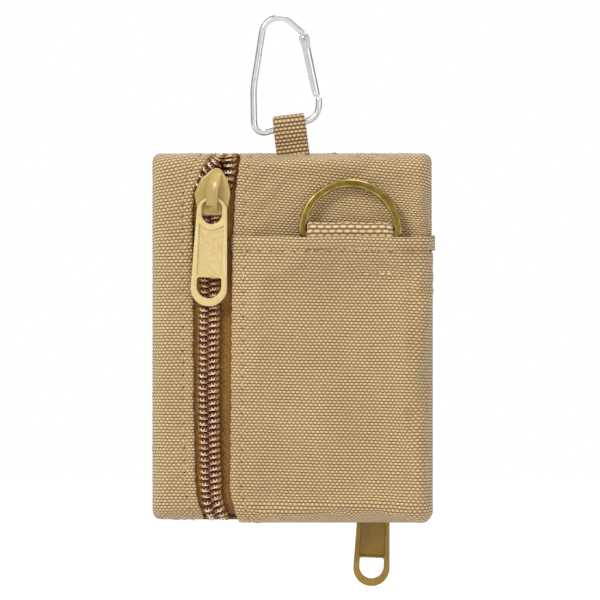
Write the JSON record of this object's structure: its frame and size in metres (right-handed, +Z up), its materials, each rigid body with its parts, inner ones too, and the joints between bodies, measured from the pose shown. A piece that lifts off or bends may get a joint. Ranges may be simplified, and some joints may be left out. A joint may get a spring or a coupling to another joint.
{
  "type": "neck pouch wallet",
  "caption": "Slim fabric neck pouch with a side zip on each face, a slip pocket, a ring on a webbing keeper and a snap hook on its hang loop.",
  "frame": {"origin": "inside of the snap hook's crown, where a ring, cord or finger carries the pouch", "axes": "+Z up, front face with the slip pocket towards -Y, +X to the right as seen from the front"},
  "size_m": [0.0962, 0.0286, 0.1952],
  "materials": {
    "khaki_canvas": "heavy coated nylon plain weave, khaki",
    "khaki_webbing": "ribbed nylon webbing, khaki",
    "zip_tape": "woven polyester tape, brown",
    "zip_coil": "nylon coil, red-brown, glossy",
    "lining": "thin coated nylon",
    "binding": "narrow grosgrain tape",
    "pale_enamel": "satin pale khaki enamel on zinc",
    "olive_enamel": "satin olive-brown enamel on zinc",
    "antique_brass": "aged brass plate, edges worn bright",
    "hook_aluminium": "polished aluminium wire",
    "steel": "bright steel"
  },
  "bodies": {
    "hook": {"carabiner_frame": "hook_aluminium", "gate_rivet": "steel"},
    "gate": {"gate": "hook_aluminium", "gate_spring": "steel", "gate_plunger": "steel"},
    "pouch": {"hang_loop": "khaki_webbing", "front_strip": "khaki_canvas", "front_panel": "khaki_canvas", "slip_pocket": "khaki_canvas", "back_strip": "khaki_canvas", "back_panel": "khaki_canvas", "divider": "lining", "seam_binding": "binding", "front_zip_tape_left": "zip_tape", "front_zip_tape_right": "zip_tape", "front_zip_coil_left": "zip_coil", "front_zip_coil_right": "zip_coil", "back_zip_tape_left": "zip_tape", "back_zip_tape_right": "zip_tape", "back_zip_coil_left": "zip_coil", "back_zip_coil_right": "zip_coil", "d_ring_keeper": "khaki_webbing"},
    "front_slider": {"front_slider": "pale_enamel"},
    "front_pull": {"front_pull": "pale_enamel"},
    "back_slider": {"back_slider": "olive_enamel"},
    "back_pull": {"back_pull": "olive_enamel"},
    "d_ring": {"d_ring": "antique_brass"}
  },
  "joints": [
    {"name": "gate_pivot", "type": "hinge", "parent": "hook", "child": "gate", "pos_m": [0.00857, 0, -0.00673], "axis": [0, 1, 0], "range_deg": [0, 30], "stiffness_Nm_per_rad": 0.02, "springref_deg": -20.05},
    {"name": "pouch_swing", "type": "hinge", "parent": "hook", "child": "pouch", "pos_m": [0.00354, 0, -0.0366], "axis": [0.9632, 0, 0.2689], "range_deg": [-90, 90]},
    {"name": "front_slider_travel", "type": "slide", "parent": "pouch", "child": "front_slider", "axis": [0, 0, -1], "range_m": [0, 0.096], "deforming": ["front_zip_coil_left", "front_zip_coil_right"]},
    {"name": "front_pull_pivot", "type": "hinge", "parent": "front_slider", "child": "front_pull", "pos_m": [-0.02265, -0.01137, -0.0617], "axis": [-1, 0, 0], "range_deg": [0, 180]},
    {"name": "back_slider_travel", "type": "slide", "parent": "pouch", "child": "back_slider", "axis": [0, 0, 1], "range_m": [0, 0.096], "deforming": ["back_zip_coil_left", "back_zip_coil_right"]},
    {"name": "back_pull_pivot", "type": "hinge", "parent": "back_slider", "child": "back_pull", "pos_m": [0.03145, 0.01137, -0.15744], "axis": [1, 0, 0], "range_deg": [0, 180]},
    {"name": "d_ring_swing", "type": "hinge", "parent": "pouch", "child": "d_ring", "pos_m": [0.0241, -0.01201, -0.0738], "axis": [1, 0, 0], "range_deg": [0, 95]}
  ]
}
